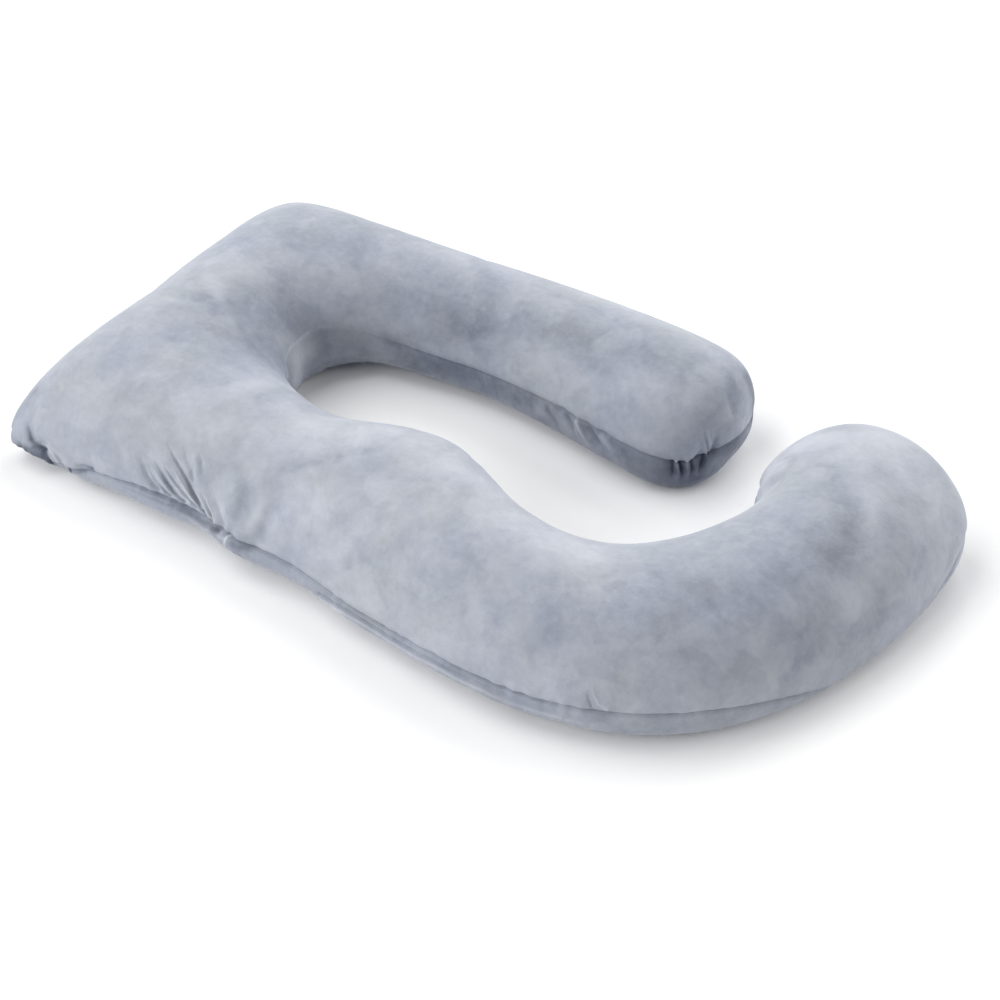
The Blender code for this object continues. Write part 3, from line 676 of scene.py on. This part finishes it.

# Where the nap is brushed darker or lighter, and where light and shade are painted on: strokes along
# pixels of the picture, each with its width in metres and how much of the whole range of shades it
# adds.
Stroke = namedtuple("Stroke", "place width shade path")
NAP_AND_LIGHT_STROKES = [
    Stroke("head, left", 0.12, 0.045, ((60, 410), (150, 345), (215, 280))),
    Stroke("head, near side", 0.12, 0.04, ((90, 450), (160, 440), (230, 430))),
    Stroke("head, middle", 0.05, 0.02, ((215, 390), (250, 383), (285, 392))),
    Stroke("head, middle", 0.04, 0.10, ((185, 415), (225, 424))),
    Stroke("head, middle", 0.016, 0.10, ((235, 388), (262, 382))),
    # Darker nap and painted shade where the head slopes down into the gap.
    Stroke("round the gap", 0.045, -0.14, ((290, 378), (262, 345), (266, 322), (280, 306))),
    Stroke("round the gap", 0.03, -0.02, ((360, 318), (390, 328), (440, 345))),
    Stroke("round the gap", 0.014, -0.02, ((305, 312), (322, 315), (345, 318))),
    Stroke("round the gap", 0.016, -0.10, ((385, 338), (412, 346))),
    # Painted highlight along the seam's ridge at the gap's edge.
    Stroke("gap's edge", 0.0036, 0.20,
           ((292, 390), (288, 375), (286, 360), (289, 350), (298, 341), (308, 333))),
    Stroke("gap's edge", 0.0040, 0.11, ((308, 333), (318, 328), (328, 325))),
    # Painted shade on the gap's far wall.
    Stroke("gap's far corner", 0.020, -0.07, ((345, 345), (375, 350), (395, 352))),
    # Painted light on the gap's end wall, which faces the light.
    Stroke("gap's end", 0.020, 0.26, ((296, 378), (296, 360), (303, 348))),
    Stroke("straight leg, inner side", 0.014, 0.06, ((428, 350), (450, 357))),
    # Painted shade on the lower panel along the straight leg's inner side.
    Stroke("straight leg, inner side", 0.018, -0.10, ((400, 357), (470, 376), (530, 402))),
    Stroke("head, streaks", 0.020, -0.05, ((160, 336), (195, 341), (230, 350))),
    Stroke("head, streaks", 0.010, 0.08, ((205, 262), (215, 290), (228, 318))),
    Stroke("head, streaks", 0.008, -0.08, ((196, 278), (206, 296), (214, 312))),
    Stroke("head, streaks", 0.008, 0.08, ((170, 300), (196, 306), (220, 300))),
    Stroke("head, far", 0.020, 0.05, ((288, 300), (310, 296))),
    Stroke("head, far", 0.04, -0.02, ((300, 238), (350, 250), (400, 275))),
    Stroke("head, far", 0.03, -0.12, ((200, 300), (225, 300), (240, 290))),
    Stroke("straight leg", 0.06, -0.10, ((440, 308), (500, 330), (570, 352))),
    # Lighter nap and painted light along the straight leg's far edge.
    Stroke("straight leg, far edge", 0.022, 0.07,
           ((420, 245), (500, 268), (600, 300), (680, 330), (720, 360))),
    Stroke("straight leg", 0.03, -0.08, ((455, 320), (480, 335))),
    Stroke("straight leg", 0.022, 0.08, ((500, 343), (520, 350), (537, 352))),
    Stroke("straight leg", 0.035, 0.08, ((553, 365), (575, 380), (603, 395), (655, 395))),
    Stroke("straight leg, end", 0.022, -0.05, ((694, 445), (706, 432), (714, 418))),
    Stroke("straight leg, end", 0.020, 0.05, ((688, 398), (702, 408))),
    Stroke("straight leg, end", 0.012, -0.10, ((730, 382), (737, 403))),
    Stroke("straight leg, end", 0.012, 0.10, ((706, 368), (720, 380))),
    # Painted shade on the lower panel at the leg's end and along its rim.
    Stroke("straight leg, end", 0.010, -0.14, ((674, 470), (690, 468), (704, 462))),
    Stroke("straight leg, rim", 0.018, -0.42,
           ((748, 378), (754, 400), (755, 418), (750, 434))),
    Stroke("straight leg, end", 0.014, -0.14, ((712, 452), (726, 448), (742, 440))),
    Stroke("straight leg, end", 0.040, -0.06, ((620, 340), (670, 352), (712, 368))),
    Stroke("straight leg, end", 0.030, 0.07, ((636, 434), (660, 436), (672, 420))),
    # Painted shade on the lower panel.
    Stroke("straight leg, end", 0.012, -0.07, ((626, 452), (640, 462), (660, 472))),
    Stroke("wavy leg, inner side", 0.05, 0.17,
           ((300, 425), (360, 432), (420, 445), (470, 472), (530, 530), (600, 553))),
    Stroke("wavy leg, middle", 0.06, 0.10, ((300, 490), (360, 500), (430, 510))),
    Stroke("wavy leg, middle", 0.03, 0.08, ((285, 500), (310, 505))),
    # Painted shade on the wavy leg's lower panel, and painted light along its lower edge.
    Stroke("wavy leg, lower panel", 0.016, -0.10,
           ((350, 620), (400, 648), (450, 674), (520, 704))),
    Stroke("wavy leg, lower panel", 0.0030, 0.24,
           ((325, 600), (360, 622), (400, 647), (440, 669), (480, 689), (520, 706), (560, 718),
            (600, 727))),
    Stroke("wavy leg, near side", 0.05, 0.05, ((290, 540), (370, 590), (450, 630), (530, 670))),
    Stroke("waist", 0.016, -0.10, ((238, 470), (243, 490), (235, 510))),
    Stroke("waist", 0.012, -0.08, ((286, 490), (282, 508))),
    Stroke("waist", 0.012, 0.10, ((262, 497), (258, 513))),
    Stroke("wavy leg, middle", 0.010, -0.06, ((287, 467), (333, 457), (380, 447))),
    Stroke("wavy leg", 0.030, -0.06, ((553, 625), (580, 635), (600, 640))),
    Stroke("wavy leg", 0.012, -0.09, ((530, 575), (548, 582))),
    Stroke("wavy leg", 0.010, -0.07, ((460, 600), (462, 615))),
    Stroke("wavy leg", 0.010, -0.06, ((493, 610), (495, 622))),
    Stroke("bend", 0.040, -0.10, ((660, 600), (710, 590), (760, 580), (810, 560), (845, 530))),
    Stroke("bend", 0.026, -0.10, ((832, 556), (846, 540), (856, 520), (850, 505))),
    Stroke("bend", 0.035, -0.05, ((690, 640), (740, 640), (790, 620), (830, 625))),
    Stroke("bend", 0.030, 0.05, ((640, 705), (700, 700), (760, 690))),
    Stroke("bend", 0.030, 0.05, ((600, 588), (640, 602))),
    Stroke("bend", 0.016, -0.08, ((775, 625), (795, 640), (800, 660))),
    Stroke("bend", 0.012, -0.12, ((880, 590), (886, 615))),
    Stroke("bend", 0.026, 0.10, ((815, 575), (840, 585), (855, 600))),
    Stroke("bend", 0.030, -0.05, ((780, 660), (830, 650), (870, 630))),
    # Lighter nap and painted light on the curled end's top and inner side.
    Stroke("curled end", 0.05, 0.22, ((800, 445), (850, 440), (900, 450))),
    Stroke("curled end", 0.026, 0.10, ((872, 490), (872, 530))),
    Stroke("curled end", 0.03, 0.20, ((745, 510), (765, 480), (775, 465))),
    Stroke("curled end", 0.012, -0.12, ((781, 455), (793, 461))),
    Stroke("curled end", 0.014, -0.06, ((815, 463), (838, 467))),
    Stroke("curled end", 0.018, -0.10, ((815, 490), (835, 480))),
    Stroke("curled end, outer side", 0.05, 0.11, ((930, 500), (945, 540), (930, 590))),
    # Painted shade on the curled end's lower panel.
    Stroke("curled end, lower panel", 0.010, -0.14, ((950, 560), (940, 582), (925, 604))),
    # Painted shade under the near corner's folded-over edge.
    Stroke("near corner", 0.0045, -0.10, ((54, 460), (48, 453), (42, 448), (36, 446), (32, 440))),
    Stroke("near corner", 0.0040, -0.08, ((32, 440), (30, 433), (29, 425))),
    Stroke("near corner", 0.0085, -0.58, ((26, 451), (36, 453), (46, 456), (56, 462))),
    Stroke("near corner", 0.0080, -0.30, ((24, 446), (31, 449), (38, 452))),
    Stroke("head, end", 0.016, -0.16, ((34, 392), (22, 408), (12, 428), (14, 441))),
    # Painted shade in the near corner's crease.
    Stroke("near corner", 0.0060, -0.22, ((92, 470), (82, 469), (72, 468))),
    # Painted shade under the fan of folds, by the seam.
    Stroke("under the fan", 0.0085, -0.16, ((174, 506), (190, 514), (205, 524), (218, 534))),
    Stroke("under the fan", 0.0060, -0.18, ((236, 547), (250, 551))),
    # Painted highlight on the pleat's ridge at the waist.
    Stroke("waist", 0.0034, 0.22, ((231, 538), (230, 545), (233, 552))),
]
BASE_SHADE = 0.56
WARPS = ((0.09, 0.024), (0.03, 0.009))     # how far apart a stroke's edge wanders, and how far
WARPED_WIDTH = 0.05         # a stroke narrower than this wanders less
CREASE_SHADE = 32.0         # painted shade in folds: how much darker each metre of a fold's depth is, and painted highlight on ridges: how much lighter each metre of a ridge's height
RIDGE_HIGHLIGHT = 75.0          # and how much lighter each metre of a ridge's height
RIM_LIGHT = 0.26            # painted light on the lower panel just above the floor, up to about this height
RIM_HEIGHT = 0.010          # up to about this height

# Painted light on the lower panel's rim, strongest at the floor.
rim = np.exp(-(places[:, 2] / RIM_HEIGHT) ** 2)
warp = np.zeros_like(places)
for spacing, reach in WARPS:
    warp += [reach * noise.noise_vector(Vector(place) / spacing) for place in places]
# The tone before the strokes: the base, painted shade in the folds, painted highlights on the ridges
# and painted light on the lower panel's rim.
nap = (BASE_SHADE - CREASE_SHADE * np.maximum(crease, 0) + RIDGE_HIGHLIGHT * np.maximum(-crease, 0)
       + RIM_LIGHT * rim)
for stroke in NAP_AND_LIGHT_STROKES:
    path = np.array([seen(puffed_form, pixel) for pixel in stroke.path])
    warped = places + warp * min(1, stroke.width / WARPED_WIDTH)
    nap += stroke.shade * np.exp(-(distance_to(warped, path)[0] / stroke.width) ** 2)


def record(name, values):
    """Keeps one value for each of the cover's points, for its material."""
    cover.data.attributes.new(name, "FLOAT", "POINT").data.foreach_set("value", values)


# The nap's tone together with its painted light and shade, kept for the material.
record("nap", nap)
record("below", side)
record("dark", look.dark)
record("stitches", look.stitches)

# The velvet's colours along its scale of nap, painted light and painted shade, from darkest to
# lightest: bluer where the nap stands up, and greyer where it is rubbed flat.
STANDING = ((0.0, (0.062, 0.071, 0.098)), (0.25, (0.154, 0.170, 0.223)), (0.5, (0.295, 0.319, 0.384)),
            (0.75, (0.433, 0.454, 0.518)), (1.0, (0.561, 0.574, 0.623)))
RUBBED = ((0.0, (0.065, 0.073, 0.092)), (0.25, (0.159, 0.174, 0.211)), (0.5, (0.304, 0.327, 0.370)),
          (0.75, (0.441, 0.462, 0.502)), (1.0, (0.568, 0.580, 0.609)))
EDGE = 0.0012               # how far below the seam's line the lower panel's darker nap and painted shade begin, how far below it the line of painted shade in the seam's groove runs, and how far to each side that line fades out
SEAM_SHADE_LINE = 0.5 * EDGE    # how far below it the dark line of the stitches runs,
SEAM_SHADE_FADE = 2.2 * EDGE    # and how far to each side that line fades out

# The cloudiness of the nap and the relief of the pile: soft noise whose patches are about
# 1 / scale metres across, each by its weight in the sum.
Clouds = namedtuple("Clouds", "scale detail distortion weight")
MOTTLING = [
    Clouds(9, 3, 0.8, 0.12),
    Clouds(24, 5, 0.3, 0.27),
    Clouds(90, 4, 0.3, 0.17),
    Clouds(700, 2, 0.0, 0.10),
]
BRUSHED = Clouds(13, 5, 0.4, 0.05)
BRUSHED_EDGE = (-0.02, 0.05)        # the noise over which a brushed patch turns light
RUBBED_PATCHES = Clouds(10, 4, 0.0, 3)
PILE = [Clouds(260, 3, 0.0, 1), Clouds(70, 3, 0.0, 1.5)]

velvet = Finish(bpy.data.materials.new("velvet"), "Principled BSDF", Roughness=0.9,
                Sheen_Weight=0.31, Sheen_Roughness=0.45, Sheen_Tint=(0.92, 0.95, 1, 1),
                Specular_IOR_Level=0.2)
place = velvet.node("ShaderNodeTexCoord", output="Object")


def kept(name):
    """A value kept for each of the cover's points."""
    return velvet.node("ShaderNodeAttribute", dict(attribute_name=name), output="Fac")


def clouded(clouds):
    """One soft noise, round zero."""
    return velvet.node("ShaderNodeTexNoise", sockets=dict(
        Vector=place, Scale=clouds.scale, Detail=clouds.detail,
        Distortion=clouds.distortion)) - 0.5


def all_clouded(group):
    """Soft noises added up by their weights."""
    return sum(clouded(clouds) * clouds.weight for clouds in group)


def eased(value, start, end):
    """0 where a value is at the start, 1 where it is at the end, and smooth between."""
    return velvet.node("ShaderNodeMapRange", dict(interpolation_type="SMOOTHSTEP"),
                       {"Value": value, "From Min": start, "From Max": end})


lower = eased(kept("below"), EDGE, 2 * EDGE)
groove_shade_mask = eased((kept("below") - SEAM_SHADE_LINE).size(), SEAM_SHADE_FADE, 0.0)
brushed = eased(clouded(BRUSHED), *BRUSHED_EDGE) - 0.5
# The tone: the kept nap and painted light, less the lower panel's darker nap and painted shade and
# the painted shade in the seam's groove, with the noises added.
shade = (kept("nap") - kept("dark") * lower - kept("stitches") * groove_shade_mask
         + brushed * BRUSHED.weight + all_clouded(MOTTLING))
colour = velvet.node("ShaderNodeMix", dict(data_type="RGBA"), {
    0: clouded(RUBBED_PATCHES) * RUBBED_PATCHES.weight + 0.5,
    6: velvet.node("ShaderNodeValToRGB", dict(stops=STANDING), dict(Fac=shade)),
    7: velvet.node("ShaderNodeValToRGB", dict(stops=RUBBED), dict(Fac=shade))}, output=2)
velvet.wear(Base_Color=colour,
            Normal=velvet.node("ShaderNodeBump", sockets=dict(
                Strength=0.35, Distance=0.0015, Height=all_clouded(PILE))))
cover.data.materials.clear()
cover.data.materials.append(velvet.looks)

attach(cover, "root")
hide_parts("pillow")
